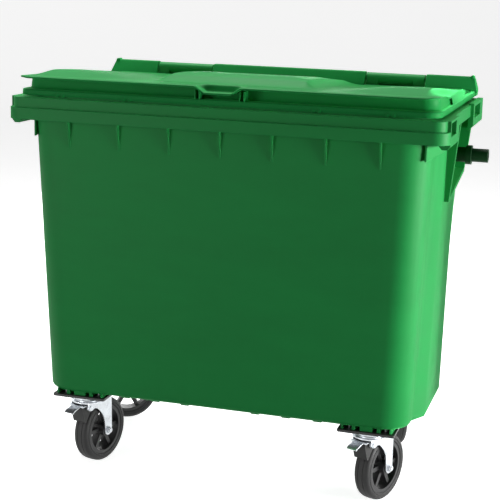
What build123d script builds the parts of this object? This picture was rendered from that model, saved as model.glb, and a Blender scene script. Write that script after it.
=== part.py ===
from build123d import *
import os

# Four-wheeled refuse container, about 660 litres, with a flat hinged lid.
# Millimetres. Origin on the floor below the middle of the container.
# X runs to the right, Y to the back (the front faces -Y) and Z up.

os.makedirs("parts", exist_ok=True)

# ---- Driving dimensions -------------------------------------------------

WALL = 5.0                    # moulded wall thickness
SIDES = (-1, 1)               # left, right

# Tub: drafted walls, measured at the floor and at the rim top
TUB_BOTTOM_Z = 250.0
TUB_BOTTOM_HALF_X = 552.0
TUB_BOTTOM_HALF_Y = 312.0
DRAFT_X = 0.0334              # outward lean of the side walls
DRAFT_Y = 0.0514              # outward lean of the front and rear walls
TUB_CORNER_R = 80.0
TUB_FOOT_R = 14.0             # rounded edge round the underside
FLOOR_THICKNESS = 6.0

# Shallow raised panel on each side wall
PANEL_HALF_Y = 144.0
PANEL_FOOT_HALF_Y = 191.0
PANEL_BOTTOM_X = 576.0
PANEL_TOP_X = 590.5
PANEL_ROOT_X = 530.0

# Rim: a downward channel with a stepped front
RIM_FRONT_Y = -387.0
RIM_REAR_Y = 372.0
RIM_HALF_X = 632.5
RIM_BOTTOM_Z = 1070.0
RIM_STEP_Z = 1103.0
RIM_TOP_Z = 1132.0
UPSTAND_TOP_Z = 1146.0        # the front and side walls stand above the rim, inside the lid
UPSTAND_BACK_Y = 332.0
RIM_STEP_BACK = 10.0          # the upper band stands back from the lower one
RIM_CORNER_R = 42.0

# Gussets under the rim
GUSSET_XS = (-450, -300, -150, 0, 150, 300, 450)
GUSSET_THICKNESS = 5.0
GUSSET_TIP_Z = 994.0
END_GUSSET_X = 567.0          # beside each rounded corner of the tub
END_GUSSET_Y = (290.0, 331.0)
END_GUSSET_BOTTOM_Z = 1018.0
CORNER_WEB_X = 607.0          # where the web behind an end gusset meets the side post
CORNER_WEB_Y = 212.0
CORNER_WEB_RISE = 23.0

# Side posts at the four rim corners, each with a window into the rim channel
POST_IN_X = 616.5
FRONT_POST_Y = (-345.0, -190.0)
REAR_POST_Y = (118.0, 330.0)
FRONT_POST_BOTTOM_Z = 1055.0
REAR_POST_TOP_Z = 1137.0
POST_WINDOWS = (              # low y, high y, low z, high z
    (-338.0, -242.0, 1089.0, 1126.0),
    (142.0, 272.0, 1093.0, 1128.0),
)

# Trunnion housing on each side
HOUSING_FRONT_Y = -92.0
HOUSING_REAR_Y = 190.0
HOUSING_BOTTOM_Z = 872.0
HOUSING_REAR_BOTTOM_Z = 925.0
HOUSING_BOTTOM_X = 600.0      # the outer face leans out towards the rim
HOUSING_TOP_X = 624.0
HOUSING_TOP_Z = RIM_STEP_Z - WALL / 2
HOUSING_BORDER = 13.0
POCKET_OUTER_X = 590.0        # the pocket sinks through the wall, into a box inside the tub
POCKET_FLOOR_X = 560.0
POCKET_BOX_TOP_Z = 1096.0

TRUNNION_Y = 100.0
TRUNNION_Z = 988.0
TRUNNION_R = 20.0
TRUNNION_END_X = 685.0
TRUNNION_SHANK_R = 22.0
TRUNNION_FLANGE_R = 28.5
TRUNNION_FLANGE_X = (620.0, 637.0)
TRUNNION_BOLT_R = 8.0
TRUNNION_THREAD = 40.0
TRUNNION_BOLT_HEAD = 10.0

# Lid hinge
HINGE_Y = 370.0
HINGE_Z = 1178.0
HINGE_BARREL_R = 17.0
HINGE_PIN_R = 8.0
HINGE_BLOCK_X = (258.0, 444.0)
HINGE_WEB_WIDTH = 36.0
HINGE_BACK_SHEET = 4.0        # closes the slot between the webs at the back
RIDGE_GAP = 4.0
RUNNING_CLEARANCE = 0.05

# Lid
LID_FLANGE_Z = (1138.0, 1154.0)
LID_FLANGE_HALF_X = 606.0
LID_FLANGE_FRONT_Y = -364.0
LID_REAR_Y = 345.0
LID_CROWN_HALF_X = 586.0
LID_CROWN_FRONT_Y = -330.0
LID_CROWN_R = 44.0
LID_REAR_R = 10.0             # the flange's rear corners
LID_WALL = 4.0
LID_FRONT_Z = 1194.0
LID_REAR_Z = 1156.0
LID_LIP_FRONT_Y = -387.0
LID_LIP_HALF_X = 600.0
LID_LIP_THICKNESS = 5.0
LID_LIP_BACK_Y = -300.0
PLATEAU_HALF_X = 205.0
PLATEAU_FRONT_Y = -265.0
PLATEAU_HEIGHT = 27.0
PLATEAU_REAR_HEIGHT = 17.0
PLATEAU_RAMP = 70.0
PLATEAU_FLANK = 45.0
SCOOP_HALF_X = 64.0
SCOOP_FLOOR_HALF_X = 38.0
SCOOP_DROP = 17.0
SCOOP_BACK_Y = -336.0

# Lid ridge along the hinge
RIDGE_TOP_Z = 1197.0
RIDGE_END_X = 598.0
RIDGE_FRONT_Y = 336.0
RIDGE_BACK_Y = 387.0
RIDGE_END_SPLAY = 16.0        # the outer ends lean out towards the bottom
RIDGE_LUG = 50.0              # solid part of a ridge that holds a pin end
STOP_XS = (-474.0, -272.0, 272.0, 474.0)
STOP_HALF_X = 12.0
STOP_CLEARANCE = 0.1

# Castors
CASTOR_X = 438.0
CASTOR_FRONT_Y = -243.0
CASTOR_REAR_Y = 235.0
TRAIL = 58.0                  # axle offset behind the swivel axis
WHEEL_R = 100.0
TYRE_WIDTH = 50.0
TYRE_INNER_R = 77.0
HUB_R = 21.0
HUB_HALF_WIDTH = 29.5
SLEEVE_R = 10.0
AXLE_R = 6.0
RIM_BAND_R = 67.0             # inside of the rim band
RIM_HALF_WIDTH = 22.0
SPOKE_COUNT = 6
SPOKE_THICKNESS = 12.0
SPOKE_HALF_WIDTH = 13.0
FORK_INNER = 31.0             # from the middle to the inside of a fork leg
FORK_SHEET = 4.0
CROWN_Z = 207.0               # underside of the fork crown
CROWN_R = 50.0
CROWN_DISH_Z = 215.0          # top of the crown's raised dish
FORK_REAR_U = 72.0            # back of the fork, behind the swivel axis
LEG_END_R = 16.0
RACE_R = 44.0
RACE_Z = 216.5
TOP_PLATE_Z = 229.0
TOP_PLATE_SHEET = 4.0
TOP_PLATE_X = 140.0
TOP_PLATE_Y = 110.0
BOLT_SPACING_X = 105.0
BOLT_SPACING_Y = 80.0
PLATE_BOLT_R = 5.0
PAD_X = 165.0
PAD_Y = 150.0
PAD_THICKNESS = 7.0
BOLT_HEAD = 7.0
KINGPIN_R = 6.0
KINGPIN_HEAD = 7.0
BALL_R = 4.0
BALL_CIRCLE_R = 27.0
BALL_COUNT = 12
BRAKE_PIN_U = -30.0
BRAKE_PIN_Z = 193.0
BRAKE_PIN_R = 4.0
BRAKE_ARM_Z = 203.0           # top of the lever's arm
BRAKE_ARM_SHEET = 3.0
BRAKE_HALF_WIDTH = 27.0
BRAKE_SHOE_HALF_WIDTH = 22.0
BRAKE_GAP = 4.0               # from the shoe to the tyre

# name, x, y, trailing direction in degrees from +X, braked
CASTORS = (
    ("front_left", -CASTOR_X, CASTOR_FRONT_Y, 75.0, True),
    ("front_right", CASTOR_X, CASTOR_FRONT_Y, 68.0, True),
    ("rear_left", -CASTOR_X, CASTOR_REAR_Y, -156.0, False),
    ("rear_right", CASTOR_X, CASTOR_REAR_Y, 114.0, False),
)

# Drain
DRAIN_R = 30.0
DRAIN_Y = 200.0
DRAIN_CAP = 6.0
DRAIN_COLLAR_Z = 242.0
DRAIN_GRIP_Z = 224.0

# Skid ribs under the floor edges
SKID_XS = (108.0, 200.0, 294.0)
SKID_Y = 292.0

TOP_PLATE_TOP_Z = TOP_PLATE_Z + TOP_PLATE_SHEET
PAD_TOP_Z = TOP_PLATE_TOP_Z + PAD_THICKNESS
BALL_Z = CROWN_DISH_Z + BALL_R + RUNNING_CLEARANCE
PLATE_BOLT_TIP_Z = 252.0
POCKET_BOX_X = POCKET_FLOOR_X - WALL
CROWN_TOP_Z = CROWN_Z + FORK_SHEET


# ---- Shared shapes ------------------------------------------------------

def plan(half_x, front_y, back_y, radius, height):
    """A rounded rectangle seen from above, at one height."""
    with BuildSketch(Plane.XY.offset(height)) as outline:
        with Locations((0, (front_y + back_y) / 2)):
            RectangleRounded(2 * half_x, back_y - front_y, radius)
    return outline.sketch


def drafted_tub(inset, low_z, high_z):
    """The tub as a solid block with leaning walls, drawn in by a wall thickness."""
    walls = []
    for half, draft in ((TUB_BOTTOM_HALF_X, DRAFT_X), (TUB_BOTTOM_HALF_Y, DRAFT_Y)):
        low = half + draft * (low_z - TUB_BOTTOM_Z) - inset
        high = half + draft * (high_z - TUB_BOTTOM_Z) - inset
        walls.append([(-low, low_z), (low, low_z), (high, high_z), (-high, high_z)])
    with BuildPart() as block:
        extrude(front_profile(walls[0], RIM_HALF_X), amount=2 * RIM_HALF_X)
        extrude(side_profile(walls[1], -RIM_HALF_X), amount=2 * RIM_HALF_X, mode=Mode.INTERSECT)
        corners = block.edges().filter_by(lambda edge: abs(edge.tangent_at(0.5).Z) > 0.9)
        fillet(corners, TUB_CORNER_R - inset)
    return block.part


def side_panels(inset, low_z, high_z):
    """The shallow raised panels of both side walls, as solid blocks."""
    lean = (PANEL_TOP_X - PANEL_BOTTOM_X) / (RIM_TOP_Z - TUB_BOTTOM_Z)
    low = PANEL_BOTTOM_X + lean * (low_z - TUB_BOTTOM_Z) - inset
    high = PANEL_BOTTOM_X + lean * (high_z - TUB_BOTTOM_Z) - inset
    step_slope = (PANEL_FOOT_HALF_Y - PANEL_HALF_Y) / (PANEL_BOTTOM_X - TUB_BOTTOM_HALF_X)
    far_y = PANEL_HALF_Y - inset - (RIM_HALF_X - PANEL_BOTTOM_X) * step_slope
    near_y = PANEL_HALF_Y - inset + (PANEL_BOTTOM_X - PANEL_ROOT_X) * step_slope
    with BuildPart() as block:
        extrude(
            front_profile([(-low, low_z), (low, low_z), (high, high_z), (-high, high_z)], near_y),
            amount=2 * near_y,
        )
        with BuildSketch(Plane.XY.offset(low_z)) as step_plan:
            for side in SIDES:
                Polygon(
                    [
                        (side * PANEL_ROOT_X, -near_y), (side * RIM_HALF_X, -far_y),
                        (side * RIM_HALF_X, far_y), (side * PANEL_ROOT_X, near_y),
                    ],
                    align=None,
                )
        extrude(amount=high_z - low_z, mode=Mode.INTERSECT)
    return block.part


def side_profile(points, x):
    """A closed outline of (y, z) points in a plane that faces +X."""
    with BuildSketch(Plane.YZ.offset(x)) as outline:
        Polygon(points, align=None)
    return outline.sketch


def front_profile(points, y):
    """A closed outline of (x, z) points in a plane that faces -Y."""
    with BuildSketch(Plane.XZ.offset(-y)) as outline:
        Polygon(points, align=None)
    return outline.sketch


def lid_top_z(y):
    """Height of the lid's plain top, which falls gently to the back."""
    run = (y - LID_LIP_FRONT_Y) / (LID_REAR_Y - LID_LIP_FRONT_Y)
    return LID_FRONT_Z + run * (LID_REAR_Z - LID_FRONT_Z)


# ---- Body moulding ------------------------------------------------------

def rim_outline(inset, low_z, high_z):
    """The rim's lower and upper bands, each drawn in by the same amount."""
    lower = plan(
        RIM_HALF_X - inset, RIM_FRONT_Y + inset, RIM_REAR_Y - inset,
        RIM_CORNER_R - inset, low_z,
    )
    upper_in = inset + RIM_STEP_BACK
    upper = plan(
        RIM_HALF_X - upper_in, RIM_FRONT_Y + upper_in, RIM_REAR_Y - upper_in,
        RIM_CORNER_R - upper_in, low_z,
    )
    with BuildPart() as bands:
        extrude(lower, amount=RIM_STEP_Z - (0 if inset == 0 else WALL) - low_z)
        extrude(upper, amount=high_z - low_z)
    return bands.part


def gusset(side_y):
    """Outline of a rib under the front (-1) or rear (+1) rim."""
    rim_y = abs(RIM_FRONT_Y) if side_y < 0 else RIM_REAR_Y
    wall_y = TUB_BOTTOM_HALF_Y + DRAFT_Y * (GUSSET_TIP_Z - TUB_BOTTOM_Z)
    points = [
        (wall_y - WALL / 2, GUSSET_TIP_Z), (wall_y + 1, GUSSET_TIP_Z),
        (rim_y - 20, RIM_BOTTOM_Z), (rim_y - WALL / 2, RIM_BOTTOM_Z + 8),
        (rim_y - WALL / 2, RIM_STEP_Z - 2), (wall_y, RIM_STEP_Z + 12),
    ]
    return [(side_y * y, z) for y, z in points]


def corner_reinforcement(side_x, side_y):
    """A gusset on the rounded corner of the tub, and a web from it back to the side post."""
    root_y, tip_y = END_GUSSET_Y
    top_z = RIM_TOP_Z - WALL / 2
    half = GUSSET_THICKNESS / 2
    outline = [
        (END_GUSSET_X - half, root_y), (END_GUSSET_X - half, tip_y), (END_GUSSET_X + half, tip_y),
        (CORNER_WEB_X + half, CORNER_WEB_Y), (CORNER_WEB_X - half, CORNER_WEB_Y),
        (END_GUSSET_X + half, tip_y - 3 * half), (END_GUSSET_X + half, root_y),
    ]
    lower_edge = [
        (CORNER_WEB_Y - 5, END_GUSSET_BOTTOM_Z + CORNER_WEB_RISE), (tip_y, END_GUSSET_BOTTOM_Z),
        (tip_y, top_z), (CORNER_WEB_Y - 5, top_z),
    ]
    with BuildPart() as corner:
        with BuildSketch(Plane.XY.offset(END_GUSSET_BOTTOM_Z)):
            Polygon([(side_x * x, side_y * y) for x, y in outline], align=None)
        extrude(amount=top_z - END_GUSSET_BOTTOM_Z)
        extrude(
            side_profile([(side_y * y, z) for y, z in lower_edge], -RIM_HALF_X),
            amount=2 * RIM_HALF_X, mode=Mode.INTERSECT,
        )
    return corner.part


def housing_outline(inset, top_z):
    """The trunnion housing seen from the side, as (y, z) points."""
    return [
        (HOUSING_FRONT_Y + inset, top_z),
        (HOUSING_FRONT_Y + 18 + inset, HOUSING_BOTTOM_Z + inset),
        (HOUSING_FRONT_Y + 50, HOUSING_BOTTOM_Z + inset),
        (HOUSING_REAR_Y - inset, HOUSING_REAR_BOTTOM_Z + inset),
        (HOUSING_REAR_Y - inset, top_z),
    ]


def pocket_block(side, inset, low_x, high_x, top_z):
    """A block in the shape of the housing's pocket, between two distances from the middle."""
    return extrude(
        side_profile(housing_outline(inset, top_z), side * low_x),
        amount=side * (high_x - low_x), mode=Mode.PRIVATE,
    )


def trunnion_housing(side):
    """The housing that stands out from one side wall, with the outer part of its pocket."""
    root_x = TUB_BOTTOM_HALF_X + 12
    leaning = [
        (root_x, HOUSING_BOTTOM_Z), (HOUSING_BOTTOM_X, HOUSING_BOTTOM_Z),
        (HOUSING_TOP_X, RIM_STEP_Z), (root_x, RIM_STEP_Z),
    ]
    with BuildPart() as housing:
        extrude(
            front_profile([(side * x, z) for x, z in leaning], HOUSING_REAR_Y),
            amount=HOUSING_REAR_Y - HOUSING_FRONT_Y,
        )
        extrude(
            side_profile(housing_outline(0.0, HOUSING_TOP_Z), 0),
            amount=side * (RIM_HALF_X + 10), mode=Mode.INTERSECT,
        )
        add(
            pocket_block(side, HOUSING_BORDER, POCKET_OUTER_X, RIM_HALF_X, HOUSING_TOP_Z),
            mode=Mode.SUBTRACT,
        )
    return housing.part


rim_shell_outside = rim_outline(0.0, RIM_BOTTOM_Z, RIM_TOP_Z)
rim_shell_inside = rim_outline(WALL, RIM_BOTTOM_Z - 1, RIM_TOP_Z - WALL)

with BuildPart() as tub_rounded:
    add(drafted_tub(0.0, TUB_BOTTOM_Z, UPSTAND_TOP_Z))
    fillet(tub_rounded.faces().sort_by(Axis.Z)[0].edges(), TUB_FOOT_R)
    # The upstand stops short of the lid's rear wall.
    with BuildSketch(Plane.XY.offset(RIM_TOP_Z)):
        with Locations((0, UPSTAND_BACK_Y + RIM_REAR_Y / 2)):
            Rectangle(2 * RIM_HALF_X, RIM_REAR_Y)
    extrude(amount=UPSTAND_TOP_Z - RIM_TOP_Z + 1, mode=Mode.SUBTRACT)
tub_outside = tub_rounded.part

with BuildPart() as rim:
    add(rim_shell_outside)
    add(rim_shell_inside, mode=Mode.SUBTRACT)

    # The side rim is cut back between the posts, so a lifting arm can pass.
    gap_centre_y = (FRONT_POST_Y[1] + REAR_POST_Y[0]) / 2
    gap_length = REAR_POST_Y[0] - FRONT_POST_Y[1]
    with BuildSketch(Plane.XY.offset(RIM_BOTTOM_Z - 1)):
        for side in SIDES:
            with Locations((side * (RIM_HALF_X - 14), gap_centre_y)):
                Rectangle(34, gap_length)
    extrude(amount=RIM_STEP_Z - WALL - RIM_BOTTOM_Z + 1, mode=Mode.SUBTRACT)
    with BuildSketch(Plane.XY.offset(RIM_BOTTOM_Z - 1)):
        for side in SIDES:
            with Locations((side * (RIM_HALF_X - RIM_STEP_BACK + 10), gap_centre_y)):
                Rectangle(20, gap_length)
    extrude(amount=RIM_STEP_Z - RIM_BOTTOM_Z + 2, mode=Mode.SUBTRACT)

    # Corner posts, with a hooked lower edge and a window
    for side in SIDES:
        hook = [
            (POST_IN_X, RIM_TOP_Z), (RIM_HALF_X, RIM_TOP_Z), (RIM_HALF_X, FRONT_POST_BOTTOM_Z + 9),
            (RIM_HALF_X - 8, FRONT_POST_BOTTOM_Z), (RIM_HALF_X - 22, FRONT_POST_BOTTOM_Z),
            (RIM_HALF_X - 34, FRONT_POST_BOTTOM_Z + 13), (RIM_HALF_X - 28, FRONT_POST_BOTTOM_Z + 16),
            (POST_IN_X, FRONT_POST_BOTTOM_Z + 10),
        ]
        extrude(
            front_profile([(side * x, z) for x, z in hook], FRONT_POST_Y[1]),
            amount=FRONT_POST_Y[1] - FRONT_POST_Y[0],
        )
        haunch = [
            (POST_IN_X, REAR_POST_TOP_Z), (RIM_HALF_X, REAR_POST_TOP_Z), (RIM_HALF_X, RIM_BOTTOM_Z + 2),
            (HOUSING_TOP_X - 4, RIM_BOTTOM_Z - 12), (HOUSING_TOP_X - 12, RIM_BOTTOM_Z - 12),
            (POST_IN_X, RIM_BOTTOM_Z + 2),
        ]
        extrude(
            front_profile([(side * x, z) for x, z in haunch], REAR_POST_Y[1]),
            amount=REAR_POST_Y[1] - REAR_POST_Y[0],
        )
        with BuildSketch(Plane.YZ.offset(side * (POST_IN_X - 1))):
            for low_y, high_y, low_z, high_z in POST_WINDOWS:
                with Locations(((low_y + high_y) / 2, (low_z + high_z) / 2)):
                    RectangleRounded(high_y - low_y, high_z - low_z, 4)
        extrude(amount=side * (RIM_HALF_X - POST_IN_X + 2), mode=Mode.SUBTRACT)

with BuildPart() as ribs:
    # Gussets under the front and rear rim
    for gusset_x in GUSSET_XS:
        for side_y in SIDES:
            extrude(
                side_profile(gusset(side_y), gusset_x - GUSSET_THICKNESS / 2),
                amount=GUSSET_THICKNESS,
            )
    # Reinforced corners
    for side in SIDES:
        add([corner_reinforcement(side, side_y) for side_y in SIDES])

with BuildPart() as hinge_blocks:
    # A barrel on two webs, with a recess under it that is closed at the back
    web = [
        (HINGE_Y - HINGE_BARREL_R, RIM_TOP_Z - WALL), (HINGE_Y - HINGE_BARREL_R, HINGE_Z),
        (HINGE_Y + HINGE_BARREL_R, HINGE_Z), (HINGE_Y + HINGE_BARREL_R, RIM_TOP_Z - 4),
        (RIM_REAR_Y - 4, RIM_STEP_Z - 2), (RIM_REAR_Y - 9, RIM_STEP_Z - 2),
    ]
    recess_back = [
        (HINGE_Y + HINGE_BARREL_R - HINGE_BACK_SHEET, HINGE_Z - 6), (HINGE_Y + HINGE_BARREL_R, HINGE_Z - 6),
        (HINGE_Y + HINGE_BARREL_R, RIM_TOP_Z - 4), (RIM_REAR_Y - 4, RIM_STEP_Z - 2),
        (RIM_REAR_Y - 9, RIM_STEP_Z - 2), (HINGE_Y + HINGE_BARREL_R - HINGE_BACK_SHEET, RIM_TOP_Z),
    ]
    inner_x, outer_x = HINGE_BLOCK_X
    for side in SIDES:
        for web_x in (inner_x, outer_x - HINGE_WEB_WIDTH):
            start_x = web_x if side > 0 else -web_x - HINGE_WEB_WIDTH
            extrude(side_profile(web, start_x), amount=HINGE_WEB_WIDTH)
        extrude(side_profile(recess_back, side * inner_x), amount=side * (outer_x - inner_x))
        with BuildSketch(Plane.YZ.offset(side * inner_x)):
            with Locations((HINGE_Y, HINGE_Z)):
                Circle(HINGE_BARREL_R)
        extrude(amount=side * (outer_x - inner_x))
        with BuildSketch(Plane.YZ.offset(side * inner_x)):
            with Locations((HINGE_Y, HINGE_Z)):
                Circle(HINGE_PIN_R + RUNNING_CLEARANCE)
        extrude(amount=side * (outer_x - inner_x), mode=Mode.SUBTRACT)

with BuildPart() as underside:
    # Castor feet: ribbed blocks that carry the mounting pads
    for _, castor_x, castor_y, _, _ in CASTORS:
        with BuildSketch(Plane.XY.offset(PAD_TOP_Z)):
            with Locations((castor_x, castor_y)):
                RectangleRounded(PAD_X - 16, PAD_Y - 22, 8)
                with GridLocations(36, 0, 4, 1):
                    Rectangle(26, PAD_Y, mode=Mode.SUBTRACT)
                Rectangle(36, PAD_Y - 22)
        extrude(amount=TUB_BOTTOM_Z - PAD_TOP_Z + 3)
    # Short skid ribs under the front and rear edges, and the drain collar
    with BuildSketch(Plane.XY.offset(TUB_BOTTOM_Z - 4)):
        for side in SIDES:
            for skid_x in SKID_XS:
                for skid_y in SIDES:
                    with Locations((side * skid_x, skid_y * SKID_Y)):
                        RectangleRounded(26, 12, 3)
    extrude(amount=8)
    with BuildSketch(Plane.XY.offset(DRAIN_COLLAR_Z)):
        with Locations((0, DRAIN_Y)):
            Circle(DRAIN_R + 8)
    extrude(amount=TUB_BOTTOM_Z - DRAIN_COLLAR_Z + 2)

with BuildPart() as bin_body:
    add(rim.part)
    add([tub_outside, side_panels(0.0, TUB_BOTTOM_Z, RIM_TOP_Z - 1)])
    add([trunnion_housing(side) for side in SIDES] + [ribs.part, hinge_blocks.part, underside.part])
    # The space for waste
    add(
        [
            drafted_tub(WALL, TUB_BOTTOM_Z + FLOOR_THICKNESS, UPSTAND_TOP_Z + 10),
            side_panels(WALL, TUB_BOTTOM_Z + FLOOR_THICKNESS, RIM_TOP_Z - 2 * WALL),
        ],
        mode=Mode.SUBTRACT,
    )
    # The inner parts of the trunnion pockets, in boxes inside the tub
    for side in SIDES:
        add(
            pocket_block(
                side, HOUSING_BORDER - WALL, POCKET_BOX_X, POCKET_OUTER_X, POCKET_BOX_TOP_Z
            )
        )
        add(
            pocket_block(
                side, HOUSING_BORDER, POCKET_FLOOR_X, POCKET_OUTER_X, POCKET_BOX_TOP_Z - WALL
            ),
            mode=Mode.SUBTRACT,
        )
    # Castor bolt holes, drain hole and trunnion bolt holes
    with BuildSketch(Plane.XY.offset(PAD_TOP_Z - 1)):
        for _, castor_x, castor_y, _, _ in CASTORS:
            with Locations((castor_x, castor_y)):
                with GridLocations(BOLT_SPACING_X, BOLT_SPACING_Y, 2, 2):
                    Circle(PLATE_BOLT_R + RUNNING_CLEARANCE)
    extrude(amount=PLATE_BOLT_TIP_Z + 1 - PAD_TOP_Z + 1, mode=Mode.SUBTRACT)
    with BuildSketch(Plane.XY.offset(DRAIN_COLLAR_Z - 1)):
        with Locations((0, DRAIN_Y)):
            Circle(DRAIN_R)
    extrude(amount=2 * FLOOR_THICKNESS + 8, mode=Mode.SUBTRACT)
    with BuildSketch(Plane.YZ):
        with Locations((TRUNNION_Y, TRUNNION_Z)):
            Circle(TRUNNION_BOLT_R)
    extrude(amount=RIM_HALF_X, both=True, mode=Mode.SUBTRACT)

bin_body.part.label = "bin_body"
export_step(bin_body.part, "parts/bin_body.step")

# ---- Trunnions ----------------------------------------------------------

for side, side_name in ((-1, "left"), (1, "right")):
    trunnion_plane = Plane(
        origin=(0, TRUNNION_Y, TRUNNION_Z), x_dir=(0, side, 0), z_dir=(side, 0, 0)
    )
    with BuildPart() as trunnion:
        with BuildSketch(trunnion_plane.offset(POCKET_FLOOR_X)):
            Circle(TRUNNION_SHANK_R)
        extrude(amount=TRUNNION_FLANGE_X[0] - POCKET_FLOOR_X)
        with BuildSketch(trunnion_plane.offset(TRUNNION_FLANGE_X[0])):
            Circle(TRUNNION_FLANGE_R)
        extrude(amount=TRUNNION_FLANGE_X[1] - TRUNNION_FLANGE_X[0])
        with BuildSketch(trunnion_plane.offset(TRUNNION_FLANGE_X[1])):
            Circle(TRUNNION_R)
        extrude(amount=TRUNNION_END_X - TRUNNION_FLANGE_X[1])
        with BuildSketch(trunnion_plane.offset(TRUNNION_END_X)):
            Circle(TRUNNION_R - 6)
        extrude(amount=-12, mode=Mode.SUBTRACT)
        with BuildSketch(trunnion_plane.offset(POCKET_FLOOR_X)):
            Circle(TRUNNION_BOLT_R)
        extrude(amount=TRUNNION_THREAD, mode=Mode.SUBTRACT)
    trunnion.part.label = "trunnion_" + side_name
    export_step(trunnion.part, "parts/trunnion_" + side_name + ".step")

    with BuildPart() as trunnion_bolt:
        with BuildSketch(trunnion_plane.offset(POCKET_BOX_X - TRUNNION_BOLT_HEAD)):
            RegularPolygon(TRUNNION_BOLT_R + 5, 6)
        extrude(amount=TRUNNION_BOLT_HEAD)
        with BuildSketch(trunnion_plane.offset(POCKET_BOX_X)):
            Circle(TRUNNION_BOLT_R - RUNNING_CLEARANCE)
        extrude(amount=POCKET_FLOOR_X + TRUNNION_THREAD - POCKET_BOX_X)
    trunnion_bolt.part.label = "trunnion_bolt_" + side_name
    export_step(trunnion_bolt.part, "parts/trunnion_bolt_" + side_name + ".step")


# ---- Drain plug ---------------------------------------------------------

with BuildPart() as drain_plug:
    # A flange under the collar, a plug in the hole and a bar to turn it by
    with BuildSketch(Plane.XY.offset(DRAIN_COLLAR_Z - DRAIN_CAP)):
        with Locations((0, DRAIN_Y)):
            Circle(DRAIN_R + 6)
    extrude(amount=DRAIN_CAP - STOP_CLEARANCE)
    with BuildSketch(Plane.XY.offset(DRAIN_COLLAR_Z - DRAIN_CAP)):
        with Locations((0, DRAIN_Y)):
            Circle(DRAIN_R - RUNNING_CLEARANCE)
    extrude(amount=TUB_BOTTOM_Z + FLOOR_THICKNESS - DRAIN_COLLAR_Z + DRAIN_CAP)
    with BuildSketch(Plane.XY.offset(DRAIN_GRIP_Z)):
        with Locations((0, DRAIN_Y)):
            Rectangle(2 * DRAIN_R, 8)
    extrude(amount=DRAIN_COLLAR_Z - DRAIN_CAP - DRAIN_GRIP_Z)
drain_plug.part.label = "drain_plug"
export_step(drain_plug.part, "parts/drain_plug.step")


# ---- Lid ----------------------------------------------------------------

def lid_flange_plan(inset, height):
    """Plan of the lid's lower edge, rounder at the front than at the back."""
    with BuildSketch(Plane.XY.offset(height)) as outline:
        with Locations((0, (LID_FLANGE_FRONT_Y + LID_REAR_Y) / 2)):
            RectangleRounded(
                2 * (LID_FLANGE_HALF_X - inset), LID_REAR_Y - LID_FLANGE_FRONT_Y - 2 * inset,
                LID_CROWN_R - inset,
            )
        with Locations((0, (LID_REAR_Y - inset) / 2)):
            RectangleRounded(
                2 * (LID_FLANGE_HALF_X - inset), LID_REAR_Y - inset, LID_REAR_R - inset
            )
    return outline.sketch


def lid_crown(inset, low_z):
    """The block under the lid's sloping top, drawn in by a wall thickness."""
    top = [
        (LID_LIP_FRONT_Y, low_z), (LID_LIP_FRONT_Y, lid_top_z(LID_LIP_FRONT_Y) - inset),
        (RIM_REAR_Y, lid_top_z(RIM_REAR_Y) - inset), (RIM_REAR_Y, low_z),
    ]
    outline = plan(
        LID_CROWN_HALF_X - inset, LID_CROWN_FRONT_Y + inset, LID_REAR_Y - inset,
        LID_CROWN_R - inset, low_z,
    )
    with BuildPart() as crown:
        extrude(outline, amount=LID_FRONT_Z - low_z)
        extrude(side_profile(top, -RIM_HALF_X), amount=2 * RIM_HALF_X, mode=Mode.INTERSECT)
    return crown.part


def plateau(inset):
    """The raised middle of the lid, with sloping sides."""
    low_front = PLATEAU_FRONT_Y + inset
    high_front = PLATEAU_FRONT_Y + PLATEAU_RAMP + inset
    back = LID_REAR_Y - 25 - inset
    half_x = PLATEAU_HALF_X - inset
    ridge_line = [
        (low_front, lid_top_z(low_front) - 12), (low_front, lid_top_z(low_front)),
        (high_front, lid_top_z(high_front) + PLATEAU_HEIGHT - inset),
        (back - PLATEAU_RAMP, lid_top_z(back - PLATEAU_RAMP) + PLATEAU_REAR_HEIGHT - inset),
        (back, lid_top_z(back)), (back, lid_top_z(back) - 12),
    ]
    flanks = [
        (-half_x - PLATEAU_FLANK, LID_FLANGE_Z[0]), (half_x + PLATEAU_FLANK, LID_FLANGE_Z[0]),
        (half_x, lid_top_z(0)), (half_x - PLATEAU_FLANK, LID_FRONT_Z + PLATEAU_HEIGHT),
        (-half_x + PLATEAU_FLANK, LID_FRONT_Z + PLATEAU_HEIGHT), (-half_x, lid_top_z(0)),
    ]
    with BuildPart() as raised:
        extrude(side_profile(ridge_line, -RIM_HALF_X), amount=2 * RIM_HALF_X)
        extrude(front_profile(flanks, RIM_HALF_X), amount=2 * RIM_HALF_X, mode=Mode.INTERSECT)
    return raised.part


def ridge_profile(inset):
    """Outline of the upstand along the hinge, as (y, z) points."""
    return [
        (RIDGE_FRONT_Y + 1.4 * inset, LID_FLANGE_Z[1] - 5 - inset),
        (RIDGE_FRONT_Y + 1.4 * inset, LID_REAR_Z),
        (RIDGE_FRONT_Y + 24 + inset, RIDGE_TOP_Z - inset),
        (RIDGE_BACK_Y - 9 - inset, RIDGE_TOP_Z - inset), (RIDGE_BACK_Y - inset, RIDGE_TOP_Z - 9 - inset),
        (RIDGE_BACK_Y - inset, LID_FLANGE_Z[1] + 9 - 2 * inset),
        (RIDGE_BACK_Y - 12 - inset, LID_FLANGE_Z[1] - 1 - 2 * inset),
        (LID_REAR_Y, LID_FLANGE_Z[1] - 5 - inset),
    ]


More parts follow.
